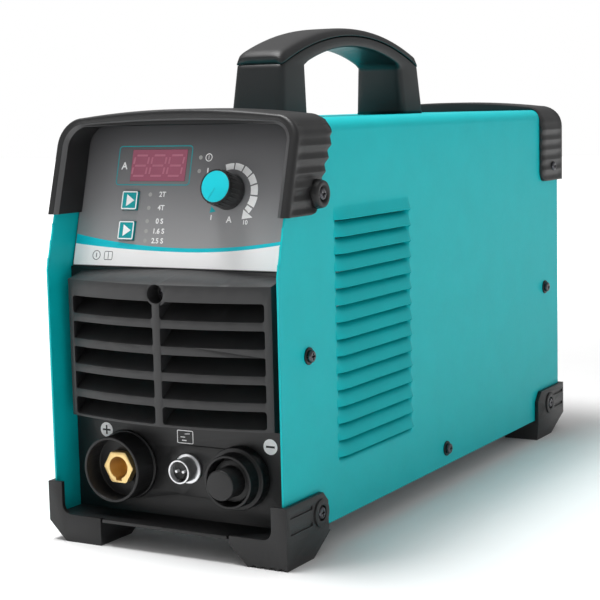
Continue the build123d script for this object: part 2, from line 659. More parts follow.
def torch_outlet_insert():
    """Brass outlet that carries current and gas, with a hose barb at the back."""
    profile = [(GAS_BORE_R, OUTLET_FRONT), (OUTLET_STUB_R, OUTLET_FRONT), (OUTLET_STUB_R, WELL_FLOOR),
               (INSERT_R, WELL_FLOOR), (INSERT_R, STRIP_Y), (STUB_R, STRIP_Y), (STUB_R, STUB_END),
               (BARB_R, STUB_END), (BARB_R, BARB_END), (GAS_BORE_R, BARB_END)]
    return turned(profile, TORCH_X, SOCKET_Z)


def outlet_cap():
    """Pull-off dust cap over the torch outlet."""
    inner = OUTLET_STUB_R + CAP_WALL_GAP
    profile = [(0, CAP_FRONT), (CAP_OUT_R - 0.6, CAP_FRONT), (CAP_OUT_R, CAP_FRONT + 0.6),
               (CAP_OUT_R, CAP_FLANGE_Y), (CAP_FLANGE_R, CAP_FLANGE_Y), (CAP_FLANGE_R, CAP_FLANGE_Y + CAP_FLANGE_T),
               (CAP_OUT_R, CAP_FLANGE_Y + CAP_FLANGE_T), (CAP_OUT_R, CAP_END),
               (inner, CAP_END), (inner, OUTLET_FRONT), (0, OUTLET_FRONT)]
    return turned(profile, TORCH_X, SOCKET_Z)


def ring_nut(x, z, start, outer, hole, thick):
    """Hexagonal panel nut."""
    return hexagon(outer, (x, start, z), thick) - rod(hole, (x, start - 1, z), thick + 2, "y")


def panel_nuts():
    """Two large nuts on the socket stems and one on the connector."""
    back = SOCKET_Y + SOCKET_T
    nuts = [ring_nut(x, SOCKET_Z, back, RING_NUT_R, STEM_R + NUT_GAP, RING_NUT_T) for x in (PLUS_X, TORCH_X)]
    nuts.append(ring_nut(CONN_X, CONN_Z, back, CONN_NUT_R, CONN_STEM_R + NUT_GAP, CONN_NUT_T))
    return group(nuts)


def connector_shell():
    """Round plated shell for the torch switch plug, with a stem through the panel."""
    seat = SOCKET_Y - BOSS_RISE
    inner = CONN_R - CONN_WALL
    hole = CONN_STEM_R - CONN_WALL
    profile = [(hole, CONN_FLOOR + 3), (inner, CONN_FLOOR + 3), (inner, CONN_FRONT), (CONN_R, CONN_FRONT),
               (CONN_R, seat - CONN_FLANGE_T), (CONN_FLANGE_R, seat - CONN_FLANGE_T), (CONN_FLANGE_R, seat),
               (CONN_STEM_R, seat), (CONN_STEM_R, CONN_END), (hole, CONN_END)]
    return turned(profile, CONN_X, CONN_Z)


def connector_pin_points():
    """Centres of the two pins."""
    return [(CONN_X - PIN_OFF, CONN_Z), (CONN_X + PIN_OFF, CONN_Z)]


def connector_insulator():
    """Insert that holds the pins inside the shell, keyed at the bottom."""
    hole = CONN_STEM_R - CONN_WALL
    inner = CONN_R - CONN_WALL
    profile = [(0, CONN_FLOOR), (inner, CONN_FLOOR), (inner, CONN_FLOOR + 3), (hole, CONN_FLOOR + 3),
               (hole, CONN_END), (0, CONN_END)]
    body = turned(profile, CONN_X, CONN_Z)
    body -= [rod(PIN_R, (x, CONN_FLOOR - 1, z), CONN_END, "y") for x, z in connector_pin_points()]
    key = block(CONN_X - 0.8, CONN_X + 0.8, CONN_FRONT + 1, CONN_FLOOR + 1, CONN_Z - inner + 0.2, CONN_Z - inner + 1.4)
    return body + key


def connector_pins():
    """Two contact pins with solder tails."""
    start = CONN_FRONT + 1
    return group([rod(PIN_R, (x, start, z), CONN_END + 4 - start, "y") for x, z in connector_pin_points()])


# ---------- guards and feet ----------
def guard_outline(y0, y1):
    """Arched outer block of the upper guards."""
    side = [Edge.make_line((-GUARD_HALF, y0, GUARD_Z0), (-GUARD_HALF, y0, GUARD_SHOULDER)),
            Edge.make_three_point_arc((-GUARD_HALF, y0, GUARD_SHOULDER), (0, y0, GUARD_CROWN),
                                      (GUARD_HALF, y0, GUARD_SHOULDER)),
            Edge.make_line((GUARD_HALF, y0, GUARD_SHOULDER), (GUARD_HALF, y0, GUARD_Z0)),
            Edge.make_line((GUARD_HALF, y0, GUARD_Z0), (-GUARD_HALF, y0, GUARD_Z0))]
    solid = Solid.extrude(Face(Wire(side)), Vector(0, y1 - y0, 0))
    edges = solid.edges().filter_by(Axis.Y).sort_by(Axis.Z)[-2:]
    return fillet(edges, GUARD_CORNER)


def grip_ribs(z0, z1, y0, y1):
    """Horizontal grooves across both outer faces of a guard."""
    grooves = []
    steps = int((z1 - z0) / RIB_PITCH)
    for i in range(steps):
        z = z0 + RIB_PITCH * (i + 0.5)
        grooves += both_sides(block(GUARD_HALF - RIB_DEPTH, GUARD_HALF + 1, y0, y1, z, z + RIB_W))
    return grooves


def screw_bosses(points, out=BOSS_SCREW_OUT):
    """Round pads that surround the guard screws on both sides."""
    pads = []
    for y, z in points:
        pads += both_sides(rod(BOSS_SCREW_R, (HALF + SLIDE_GAP, y, z),
                               GUARD_HALF + out - HALF - SLIDE_GAP, "x"))
    return pads


def screw_pockets(points, seat):
    """Recess for each head and hole for each shank, through a guard's side walls."""
    cuts = []
    for y, z in points:
        cuts += both_sides(rod(HEAD_R + 1, (seat, y, z), GUARD_HALF, "x"))
        cuts += both_sides(rod(SCREW_HOLE_R, (HALF - 1, y, z), GUARD_HALF, "x"))
    return cuts


def front_guard():
    """Upper front guard: hood round the slanted control panel, gripping the cover's edge."""
    low = GUARD_Z0
    high = GUARD_CROWN + 1
    face = [(cover_edge(low) - GUARD_LEAD, low), (cover_edge(high) - GUARD_LEAD, high)]
    outline = side_prism(face + FRONT_SCALLOP[::-1], -GUARD_HALF - 1, GUARD_HALF + 1)
    body = guard_outline(-10, 80) & outline
    room = arch_section(HALF + SLIDE_GAP, 0, CASE_TOP + SLIDE_GAP, BEND_R, -20, 120)
    behind = side_prism([(cover_edge(low) - SLIDE_GAP, low - 1), (cover_edge(high) - SLIDE_GAP, high), (120, high),
                         (120, low - 1)], -HALF - 10, HALF + 10)
    body -= room & behind
    body -= arch_section(GUARD_OPEN, 0, GUARD_OPEN_Z, GUARD_OPEN_R, -20, 60)
    body -= grip_ribs(GUARD_Z0, GUARD_SHOULDER - GUARD_CORNER / 2, 24, 80)
    body += screw_bosses(UPPER_GUARD_SCREWS[:1], HOOD_PAD_OUT)
    return body - screw_pockets(UPPER_GUARD_SCREWS[:1], FRONT_SCREW_SEAT)


def rear_guard():
    """Upper rear guard: arched band over the cover's rear corners."""
    y0 = REAR_GUARD_Y0
    side = [(y0 + 5, GUARD_Z0), (y0, GUARD_Z0 + 6), (y0, GUARD_SHOULDER - 10), (y0 + 9, GUARD_CROWN + 1),
            (REAR_END - 6, GUARD_CROWN + 1), (REAR_END, GUARD_SHOULDER - 4), (REAR_END, GUARD_Z0 + 3),
            (REAR_END - 3, GUARD_Z0)]
    body = guard_outline(y0 - 5, REAR_END + 5) & side_prism(side, -GUARD_HALF - 1, GUARD_HALF + 1)
    room = arch_section(HALF + SLIDE_GAP, 0, CASE_TOP + SLIDE_GAP, BEND_R, 0, CASE_L + SLIDE_GAP)
    opening = arch_section(GUARD_OPEN, 0, GUARD_OPEN_Z, GUARD_OPEN_R, 0, CASE_L + 20)
    body = body - room - opening
    body -= grip_ribs(GUARD_Z0, GUARD_SHOULDER - GUARD_CORNER / 2, REAR_END - 12, REAR_END + 1)
    return body - screw_pockets(UPPER_GUARD_SCREWS[1:], GUARD_HALF - 1)


def foot_shell(y0, y1, lip_y0, lip_y1):
    """Corner piece on the right: outer side plate, end plate with a curved arm, plate underneath."""
    side = block(HALF + SLIDE_GAP, GUARD_HALF, y0, y1, FOOT_PARTING, FOOT_TOP)
    arm = [(FOOT_INNER, FOOT_PARTING), (GUARD_HALF, FOOT_PARTING), (GUARD_HALF, FOOT_TOP), (FOOT_ARM_IN, FOOT_TOP),
           (FOOT_ARM_IN, FOOT_ARM_TOP), (FOOT_INNER, FOOT_ARM_TOP)]
    end = front_prism(arm, lip_y0, lip_y1)
    bend = end.edges().filter_by(Axis.Y).sort_by_distance((FOOT_ARM_IN, lip_y0, FOOT_ARM_TOP))[:1]
    end = fillet(bend, FOOT_CORNER_R)
    under = block(FOOT_INNER, GUARD_HALF, y0, y1, FOOT_PARTING, EDGE_Z - SLIDE_GAP)
    return side + end + under


def front_foot(outer_chamfer):
    """Front corner guard with its foot; the pad is bevelled on the outer or on the inner side."""
    c = FOOT_CHAMFER
    shell = foot_shell(FOOT_Y0, FOOT_Y1, FOOT_Y0, -SLIDE_GAP)
    across = [(FOOT_INNER, FOOT_PARTING), (FOOT_INNER + c, 0), (GUARD_HALF, 0), (GUARD_HALF, FOOT_PARTING)]
    if outer_chamfer:
        across = [(FOOT_INNER, FOOT_PARTING), (FOOT_INNER, 0), (GUARD_HALF - c, 0), (GUARD_HALF, FOOT_PARTING)]
    along = [(FOOT_Y0, FOOT_PARTING), (FOOT_Y0, 0), (27.6, 0), (FOOT_Y1 + 2, FOOT_PARTING)]
    pad = front_prism(across, FOOT_Y0, FOOT_Y1 + 2) & side_prism(along, FOOT_INNER - 1, GUARD_HALF + 1)
    corner = side_prism([(FOOT_Y1 - 7, FOOT_TOP + 1), (FOOT_Y1 + 1, FOOT_TOP + 1), (FOOT_Y1 + 1, FOOT_TOP - 7)],
                        HALF - 2, GUARD_HALF + 2)
    body = shell + pad - corner
    if not outer_chamfer:
        for i in range(TOOTH_COUNT):
            x = FOOT_INNER + c + 3 + i * 2 * TOOTH_W
            body -= block(x, x + TOOTH_W, FOOT_Y0 - 1, FOOT_Y1, -1, TOOTH_DEPTH)
    return finish_foot(body, LOWER_GUARD_SCREWS[0], 2, 27)


def finish_foot(body, screw, groove_y0, groove_y1):
    """Grooves, screw pad and screw hole on the outer side."""
    y, z = screw
    for groove in GROOVE_ZS:
        body -= block(GUARD_HALF - RIB_DEPTH, GUARD_HALF + 1, groove_y0, groove_y1, groove, groove + RIB_W)
    body += rod(BOSS_SCREW_R, (HALF + SLIDE_GAP, y, z), GUARD_HALF + BOSS_SCREW_OUT - HALF - SLIDE_GAP, "x")
    body -= rod(HEAD_R + 1, (GUARD_HALF - 1, y, z), GUARD_HALF, "x")
    return body - rod(SCREW_HOLE_R, (HALF - 1, y, z), GUARD_HALF, "x")


def rear_foot():
    """Rear corner guard with its foot."""
    shell = foot_shell(REAR_FOOT_Y0, REAR_END, CASE_L + SLIDE_GAP, REAR_END)
    along = [(REAR_FOOT_Y0 - 3, 0), (REAR_FOOT_Y0, FOOT_PARTING), (REAR_END, FOOT_PARTING), (407.0, 0)]
    across = [(FOOT_INNER, FOOT_PARTING), (FOOT_INNER + FOOT_CHAMFER, 0), (GUARD_HALF, 0), (GUARD_HALF, FOOT_PARTING)]
    pad = front_prism(across, REAR_FOOT_Y0 - 4, REAR_END) & side_prism(along, FOOT_INNER - 1, GUARD_HALF + 1)
    corner = side_prism([(REAR_FOOT_Y0 - 1, FOOT_TOP + 1), (REAR_FOOT_Y0 + 8, FOOT_TOP + 1),
                         (REAR_FOOT_Y0 - 1, FOOT_TOP - 8)], HALF - 2, GUARD_HALF + 2)
    body = shell + pad - corner
    return finish_foot(body, LOWER_GUARD_SCREWS[1], 412, 432)


# ---------- handle ----------
def handle_side(points_low, mid_top, y0, y1, z0):
    """Side view closed by an arched top: low points first, then the arch from y1 back to y0."""
    start = (0, y1, z0)
    end = (0, y0, z0)
    edges = [Edge.make_line((0, *a), (0, *b)) for a, b in zip(points_low[:-1], points_low[1:])]
    edges.append(Edge.make_three_point_arc(start, (0, (y0 + y1) / 2, mid_top), end))
    return Wire(edges)


def carried(wire, x0, x1):
    """Carry a wire in the side plane from x0 to x1."""
    face = Face(wire.moved(Location((x0, 0, 0))))
    return Solid.extrude(face, Vector(x1 - x0, 0, 0))


def handle_cross():
    """Front view of the handle: slightly tapered legs, rounded grip."""
    outline = front_prism([(-HANDLE_BASE_HALF, CASE_TOP), (-HANDLE_HALF, SEAM_END_Z), (-HANDLE_HALF, GRIP_MID_Z),
                           (HANDLE_HALF, GRIP_MID_Z), (HANDLE_HALF, SEAM_END_Z), (HANDLE_BASE_HALF, CASE_TOP)],
                          HANDLE_Y0 - 5, HANDLE_Y1 + 5)
    edges = outline.edges().filter_by(Axis.Y).sort_by(Axis.Z)[-2:]
    return fillet(edges, GRIP_CORNER)


def handle_gap():
    """Space for the fingers between the legs."""
    low = CASE_TOP - 5
    wire = handle_side([(LEG_FRONT_Y, GAP_END_Z), (LEG_FRONT_Y, low), (LEG_REAR_Y, low), (LEG_REAR_Y, GAP_END_Z)],
                       GAP_MID_Z, LEG_FRONT_Y, LEG_REAR_Y, GAP_END_Z)
    return carried(wire, -HANDLE_BASE_HALF - 5, HANDLE_BASE_HALF + 5)


def handle_frame():
    """Two legs and the load-bearing arch, screwed to the cover from inside."""
    wire = handle_side([(HANDLE_TOP_Y0, SEAM_END_Z), (HANDLE_Y0, CASE_TOP), (HANDLE_Y1, CASE_TOP),
                        (HANDLE_TOP_Y1, SEAM_END_Z)], SEAM_MID_Z, HANDLE_TOP_Y0, HANDLE_TOP_Y1, SEAM_END_Z)
    body = carried(wire, -HANDLE_BASE_HALF, HANDLE_BASE_HALF) & handle_cross()
    body -= handle_gap()
    return body - [rod(SCREW_R + NUT_GAP, (0, y, CASE_TOP - 1), SCREW_LENGTH + 1, "z") for y in HANDLE_SCREW_YS]


def handle_grip():
    """Soft cover on the arch, meeting the frame along the seam."""
    low = [(HANDLE_TOP_Y0, GRIP_END_Z), (HANDLE_TOP_Y0, SEAM_END_Z)]
    upper = Edge.make_three_point_arc((0, HANDLE_TOP_Y1, GRIP_END_Z), (0, (HANDLE_TOP_Y0 + HANDLE_TOP_Y1) / 2, GRIP_MID_Z),
                                      (0, HANDLE_TOP_Y0, GRIP_END_Z))
    lower = Edge.make_three_point_arc((0, HANDLE_TOP_Y0, SEAM_END_Z), (0, (HANDLE_TOP_Y0 + HANDLE_TOP_Y1) / 2, SEAM_MID_Z),
                                      (0, HANDLE_TOP_Y1, SEAM_END_Z))
    front = Edge.make_line((0, *low[0]), (0, *low[1]))
    rear = Edge.make_line((0, HANDLE_TOP_Y1, SEAM_END_Z), (0, HANDLE_TOP_Y1, GRIP_END_Z))
    return carried(Wire([front, lower, rear, upper]), -HANDLE_BASE_HALF, HANDLE_BASE_HALF) & handle_cross()


# ---------- fasteners ----------
def screw():
    """M4 pan-head screw with a cross recess: head above the origin, shank below."""
    head = Cylinder(HEAD_R, HEAD_H, align=(Align.CENTER, Align.CENTER, Align.MIN))
    head = fillet(head.edges().filter_by(GeomType.CIRCLE).sort_by(Axis.Z)[-1:], HEAD_H / 2)
    shank = Cylinder(SCREW_R, SCREW_LENGTH, align=(Align.CENTER, Align.CENTER, Align.MAX))
    top = HEAD_H - CROSS_DEPTH
    cross = Pos(0, 0, top) * (Box(CROSS_L, CROSS_W, HEAD_H, align=(Align.CENTER, Align.CENTER, Align.MIN))
                              + Box(CROSS_W, CROSS_L, HEAD_H, align=(Align.CENTER, Align.CENTER, Align.MIN)))
    return head + shank - cross


def panel_screws():
    """All the identical screws: cover sides, guards, feet, grille and handle."""
    one = screw()
    right = []
    for y, z in COVER_SCREWS:
        right.append(Pos(HALF + WASHER_T, y, z) * Rot(0, 90, 0) * one)
    right.append(Pos(FRONT_SCREW_SEAT, *UPPER_GUARD_SCREWS[0]) * Rot(0, 90, 0) * one)
    for y, z in UPPER_GUARD_SCREWS[1:] + LOWER_GUARD_SCREWS:
        right.append(Pos(GUARD_HALF - 1, y, z) * Rot(0, 90, 0) * one)
    screws = []
    for s in right:
        screws += both_sides(s)
    screws.append(Pos(0, BOW_Y + WELL_DEPTH, WELL_Z) * Rot(90, 0, 0) * one)
    for y in HANDLE_SCREW_YS:
        screws.append(Pos(0, y, CASE_TOP - SHEET) * Rot(180, 0, 0) * one)
    return group(screws)


def screw_washers():
    """Black washers under the six screws in the cover's sides."""
    washers = []
    for y, z in COVER_SCREWS:
        washer = rod(WASHER_R, (HALF, y, z), WASHER_T, "x") - rod(SCREW_HOLE_R, (HALF - 1, y, z), 3, "x")
        washers += both_sides(washer)
    return group(washers)


def clip_nuts():
    """Square clip nuts inside the walls, one behind each side screw."""
    nuts = []
    for y, z in COVER_SCREWS + UPPER_GUARD_SCREWS + LOWER_GUARD_SCREWS:
        seat = WALL_IN
        if z < EDGE_Z + TRAY_FLANGE:
            seat = WALL_IN - SLIDE_GAP - TRAY_SHEET
        elif y < UPPER_GUARD_SCREWS[0][0] + 1:
            seat = PANEL_HALF - FLANGE_T
        half = NUT_SIDE / 2
        front = max(y - half, PLATE_CLEAR_Y) if z > GUARD_Z0 else y - half
        nut = block(seat - NUT_T, seat, front, y + half, z - half, z + half)
        nuts += both_sides(nut - rod(SCREW_R + NUT_GAP, (seat - NUT_T - 1, y, z), NUT_T + 2, "x"))
    return group(nuts)


# ---------- rear equipment ----------
def rear_panel():
    """Rear plate with openings for the fan, the switch and the connections."""
    half = WALL_IN - SLIDE_GAP
    plate = block(-half, half, PANEL_BACK_Y, PANEL_BACK_Y + REAR_SHEET, EDGE_Z, CASE_TOP)
    plate = plate & inside_cover(PANEL_BACK_Y - 1, CASE_L)
    y = PANEL_BACK_Y - 1
    deep = REAR_SHEET + 2
    plate -= rod(FAN_BORE_R, (0, y, FAN_Z), deep, "y")
    plate -= block(SWITCH_X - SWITCH_W / 2 - SLIDE_GAP, SWITCH_X + SWITCH_W / 2 + SLIDE_GAP, y, y + deep,
                   SWITCH_Z - SWITCH_H / 2 - SLIDE_GAP, SWITCH_Z + SWITCH_H / 2 + SLIDE_GAP)
    plate -= rod(GLAND_STEM_R + SLIDE_GAP, (GLAND_X, y, GLAND_Z), deep, "y")
    plate -= rod(GAS_STEM_R + SLIDE_GAP, (GAS_X, y, GAS_Z), deep, "y")
    plate -= rod(EARTH_SHANK_R + SLIDE_GAP, (EARTH_X, y, EARTH_Z), deep, "y")
    plate -= [rod(SCREW_HOLE_R, (x, y, FAN_Z + z), deep, "y") for x, z in fan_corners()]
    return plate


def fan_corners():
    """Screw positions of the fan, from its centre."""
    return [(sx * FAN_SCREW_AT, sz * FAN_SCREW_AT) for sx in (-1, 1) for sz in (-1, 1)]


def fan_frame():
    """Square fan housing with the motor seat on four struts."""
    y1 = PANEL_BACK_Y
    y0 = y1 - FAN_DEPTH
    half = FAN_SIDE / 2
    body = block(-half, half, y0, y1, FAN_Z - half, FAN_Z + half)
    edges = body.edges().filter_by(Axis.Y)
    body = fillet(edges, 5)
    body -= rod(FAN_BORE_R, (0, y0 - 1, FAN_Z), FAN_DEPTH + 2, "y")
    body -= [rod(SCREW_HOLE_R, (x, y0 - 1, FAN_Z + z), FAN_DEPTH + 2, "y") for x, z in fan_corners()]
    seat = rod(FAN_HUB_R + 1, (0, y1 - FAN_PLATE, FAN_Z), FAN_PLATE, "y")
    struts = [block(-FAN_BORE_R - 1, FAN_BORE_R + 1, y1 - FAN_PLATE, y1 - 1, FAN_Z - 2, FAN_Z + 2),
              block(-2, 2, y1 - FAN_PLATE, y1 - 1, FAN_Z - FAN_BORE_R - 1, FAN_Z + FAN_BORE_R + 1)]
    bore = rod(FAN_SHAFT_R + SHAFT_GAP, (0, y1 - FAN_PLATE - 1, FAN_Z), FAN_PLATE, "y")
    return body + seat + struts - bore


def fan_rotor():
    """Hub with seven pitched blades and the shaft that runs in the motor seat."""
    y0 = PANEL_BACK_Y - FAN_DEPTH + 2
    y1 = PANEL_BACK_Y - FAN_PLATE - 0.6
    hub = rod(FAN_HUB_R, (0, y0, FAN_Z), y1 - y0, "y")
    shaft = rod(FAN_SHAFT_R, (0, y1, FAN_Z), FAN_PLATE - 1, "y")
    blades = []
    length = FAN_BLADE_R - FAN_HUB_R + 2
    for i in range(FAN_BLADES):
        blade = Box(length, 2.2, y1 - y0 - 3, align=(Align.MIN, Align.CENTER, Align.CENTER))
        blade = Pos(FAN_HUB_R - 2, 0, 0) * Rot(38, 0, 0) * blade
        blade = Rot(0, 0, 360 / FAN_BLADES * i) * blade
        blades.append(Pos(0, (y0 + y1) / 2, FAN_Z) * Rot(-90, 0, 0) * blade)
    tips = rod(FAN_BLADE_R, (0, y0 - 5, FAN_Z), 40, "y")
    return (hub + shaft + blades) & (tips + shaft)


def fan_guard():
    """Wire finger guard outside the rear panel."""
    y = PANEL_BACK_Y + REAR_SHEET + WIRE_R
    rings = [Pos(0, y, FAN_Z) * Rot(90, 0, 0) * Torus(r, WIRE_R) for r in GUARD_RINGS]
    reach = FAN_SCREW_AT * 2 ** 0.5
    spokes = []
    for i in range(4):
        spoke = Cylinder(WIRE_R, reach - HEAD_R - 1, align=(Align.CENTER, Align.CENTER, Align.MIN))
        spokes.append(Pos(0, y + 0.4, FAN_Z) * Rot(0, 45 + 90 * i, 0) * spoke)
    eyes = [rod(5, (x, PANEL_BACK_Y + REAR_SHEET, FAN_Z + z), 2 * WIRE_R, "y") for x, z in fan_corners()]
    holes = [rod(SCREW_HOLE_R, (x, PANEL_BACK_Y, FAN_Z + z), 20, "y") for x, z in fan_corners()]
    hub = rod(4, (0, PANEL_BACK_Y + REAR_SHEET, FAN_Z), 2 * WIRE_R, "y")
    return (rings[0] + rings[1:] + spokes + eyes + hub) - holes


def fan_screws():
    """Four long screws through guard, rear panel and fan."""
    y = PANEL_BACK_Y + REAR_SHEET + 2 * WIRE_R
    screws = []
    for x, z in fan_corners():
        head = rod(HEAD_R, (x, y, FAN_Z + z), HEAD_H, "y")
        cross = [block(x - CROSS_L / 2, x + CROSS_L / 2, y + HEAD_H - CROSS_DEPTH, y + HEAD_H + 1,
                       FAN_Z + z - CROSS_W / 2, FAN_Z + z + CROSS_W / 2),
                 block(x - CROSS_W / 2, x + CROSS_W / 2, y + HEAD_H - CROSS_DEPTH, y + HEAD_H + 1,
                       FAN_Z + z - CROSS_L / 2, FAN_Z + z + CROSS_L / 2)]
        shank = rod(SCREW_R, (x, y, FAN_Z + z), FAN_SCREW_L, "-y")
        screws.append(head + shank - cross)
    return group(screws)


def rocker_axis():
    """(y, z) of the rocker's pivot."""
    return PANEL_BACK_Y + REAR_SHEET - 1.0, SWITCH_Z


def switch_housing():
    """Mains switch body with a bezel outside the rear panel."""
    y1 = PANEL_BACK_Y + REAR_SHEET
    w = SWITCH_W / 2
    h = SWITCH_H / 2
    b = SWITCH_BEZEL
    body = block(SWITCH_X - w, SWITCH_X + w, y1 - SWITCH_DEPTH, y1 + 1, SWITCH_Z - h, SWITCH_Z + h)
    bezel = block(SWITCH_X - w - b, SWITCH_X + w + b, y1, y1 + 2, SWITCH_Z - h - b, SWITCH_Z + h + b)
    room = block(SWITCH_X - w + 2, SWITCH_X + w - 2, y1 - 12, y1 + 5, SWITCH_Z - h + 2, SWITCH_Z + h - 2)
    tabs = [block(SWITCH_X + d - 0.5, SWITCH_X + d + 0.5, y1 - SWITCH_DEPTH - 8, y1 - SWITCH_DEPTH,
                  SWITCH_Z + e - 3, SWITCH_Z + e + 3) for d in (-6, 6) for e in (-8, 8)]
    y, z = rocker_axis()
    seats = rod(1.55, (SWITCH_X - w + 0.8, y, z), SWITCH_W - 1.6, "x")
    return (body + bezel + tabs) - room - seats


def switch_rocker():
    """Rocker that swings from off to on, resting with its lower half pressed in."""
    y, z = rocker_axis()
    w = SWITCH_W / 2 - 2.4
    h = SWITCH_H / 2 - 3.0
    shape = [(-5.0, -6.0), (-5.0, 6.0), (2.0, h), (4.6, h - 1.0), (3.2, 0.0), (4.6, -h + 1.0), (2.0, -h)]
    body = side_prism([(y + a, z + b) for a, b in shape], SWITCH_X - w, SWITCH_X + w)
    pins = rod(1.5, (SWITCH_X - SWITCH_W / 2 + 0.95, y, z), SWITCH_W - 1.9, "x")
    turned_off = Pos(0, y, z) * Rot(-SWITCH_SWING, 0, 0) * Pos(0, -y, -z)
    return turned_off * (body + pins)


def cable_gland():
    """Strain-relief gland for the mains cable; no cable is fitted."""
    y = PANEL_BACK_Y + REAR_SHEET
    flange = hexagon(GLAND_HEX, (GLAND_X, y, GLAND_Z), 6)
    dome = turned([(0, y + 6), (GLAND_HEX - 2, y + 6), (GLAND_HEX - 2, y + 12), (GLAND_BORE_R + 1.5, y + 20), (0, y + 20)],
                  GLAND_X, GLAND_Z)
    stem = rod(GLAND_STEM_R, (GLAND_X, y, GLAND_Z), 14, "-y")
    inner_nut = hexagon(GLAND_HEX + 2, (GLAND_X, PANEL_BACK_Y - 5, GLAND_Z), 5)
    bore = rod(GLAND_BORE_R, (GLAND_X, y - 20, GLAND_Z), 60, "y")
    return flange + dome + stem + inner_nut - bore


def gas_inlet():
    """Brass gas nozzle for a push-on hose, with a hexagon outside the panel."""
    y = PANEL_BACK_Y + REAR_SHEET
    base = hexagon(9, (GAS_X, y, GAS_Z), 5)
    pin = rod(HOSE_PIN_R, (GAS_X, y + 5, GAS_Z), HOSE_PIN_L, "y")
    tip = turned([(0, 0), (HOSE_PIN_R, 0), (HOSE_PIN_R - 1.0, HOSE_TIP_L), (0, HOSE_TIP_L)], GAS_X, GAS_Z)
    tip = Pos(0, y + 5 + HOSE_PIN_L, 0) * tip
    stem = rod(GAS_STEM_R, (GAS_X, y, GAS_Z), REAR_SHEET + 1.0, "-y")
    bore = rod(GAS_BORE_R, (GAS_X, y - 20, GAS_Z), 60, "y")
    return base + pin + tip + stem - bore


def gas_valve():
    """Solenoid valve screwed to the inlet, coil on top."""
    y1 = PANEL_BACK_Y - 1.0
    body = block(GAS_X - 10, GAS_X + 10, y1 - 26, y1, GAS_Z - 8, GAS_Z + 8)
    coil = rod(10, (GAS_X, y1 - 14, GAS_Z + 8), 14, "z")
    cap = rod(4, (GAS_X, y1 - 14, GAS_Z + 22), 4, "z")
    barb = rod(BARB_R, (GAS_X, y1 - 26, GAS_Z), 10, "-y")
    bore = rod(GAS_BORE_R, (GAS_X, y1 - 40, GAS_Z), 60, "y")
    return body + coil + cap + barb - bore


def gas_hose():
    """Gas hose from the valve to the torch outlet, round the boards and coils."""
    y_valve = PANEL_BACK_Y - 1.0 - 27
    side = -66.0
    y_cross = 56.5
    path = [(GAS_X, y_valve, GAS_Z), (GAS_X, y_valve - 30, GAS_Z), (side, y_valve - 60, GAS_Z + 5),
            (side, y_cross, GAS_Z + 5), (side, y_cross, 84), (side + 22, y_cross, 55),
            (TORCH_X - 30, y_cross + 4, SOCKET_Z + 1), (TORCH_X, 65.2, SOCKET_Z),
            (TORCH_X, STUB_END + 1, SOCKET_Z)]
    line = FilletPolyline(*path, radius=HOSE_BEND_R)
    section = Plane(origin=path[0], z_dir=(0, -1, 0))
    outer = sweep(section * Circle(HOSE_R), path=line)
    inner = sweep(section * Circle(BARB_R + NUT_GAP), path=line)
    return outer - inner


def earth_stud():
    """Earth bolt with its nuts and washer, each a separate solid."""
    y = PANEL_BACK_Y + REAR_SHEET
    bolt = rod(EARTH_R, (EARTH_X, PANEL_BACK_Y, EARTH_Z), REAR_SHEET + EARTH_L, "y")
    bolt += rod(EARTH_SHANK_R, (EARTH_X, PANEL_BACK_Y, EARTH_Z), REAR_SHEET + 5, "y")
    bolt += hexagon(6, (EARTH_X, PANEL_BACK_Y - 4, EARTH_Z), 4)
    nut = ring_nut(EARTH_X, EARTH_Z, y, 6, EARTH_SHANK_R + NUT_GAP, 5)
    return group([bolt, nut])


# ---------- inside ----------
def power_board():
    """Main circuit board on pillars, with its connectors."""
    board = block(-BOARD_X, BOARD_X, BOARD_Y0, BOARD_Y1, BOARD_Z, BOARD_Z + BOARD_T)
    top = BOARD_Z + BOARD_T
    relays = [block(20 + 24 * i, 38 + 24 * i, 300, 330, top - 0.5, top + 16) for i in range(2)]
    coil_box = block(-50, -14, 290, 330, top - 0.5, top + 30)
    supply = block(-20, 20, 200, 232, top - 0.5, top + 28)
    return board + relays + [coil_box, supply]


def board_pillars():
    """Six pillars from the tray to the board."""
    z0 = EDGE_Z + TRAY_SHEET
    return group([rod(PILLAR_R, (sx * PILLAR_X, y, z0), BOARD_Z - z0, "z") for sx in (-1, 1) for y in PILLAR_YS])


def heat_sink(side):
    """Finned extrusion under the power modules."""
    x0, x1 = sorted((side * SINK_X0, side * SINK_X1))
    body = block(x0, x1, SINK_Y0, SINK_Y1, SINK_TOP - SINK_BASE, SINK_TOP)
    fins = int((x1 - x0) / SINK_FIN_PITCH) + 1
    for i in range(fins):
        x = x0 + i * SINK_FIN_PITCH
        body += block(x, x + SINK_FIN_T, SINK_Y0, SINK_Y1, SINK_FIN_Z, SINK_TOP - SINK_BASE)
    return body


def power_modules():
    """Transistors and rectifiers between the heat sinks and the board."""
    modules = []
    for side in (-1, 1):
        for i in range(4):
            y = SINK_Y0 + 14 + i * 30
            x = side * (SINK_X0 + SINK_X1) / 2
            modules.append(block(x - 10, x + 10, y, y + 16, SINK_TOP, BOARD_Z))
    return group(modules)


def bulk_capacitors():
    """Four smoothing capacitors on the board."""
    top = BOARD_Z + BOARD_T
    return group([rod(17, (sx * 22, y, top), 46, "z") for sx in (-1, 1) for y in (110, 155)])


def wound_core(x, y, width, stack, height, leg):
    """Laminated core with two windows, standing on the tray."""
    z0 = EDGE_Z + TRAY_SHEET
    core = block(x - width / 2, x + width / 2, y - stack / 2, y + stack / 2, z0, z0 + height)
    window = (width - 2 * leg) / 2
    for side in (-1, 1):
        centre = x + side * (leg / 2 + window / 2)
        core -= block(centre - window / 2, centre + window / 2, y - stack, y + stack, z0 + leg / 2, z0 + height - leg / 2)
    return core


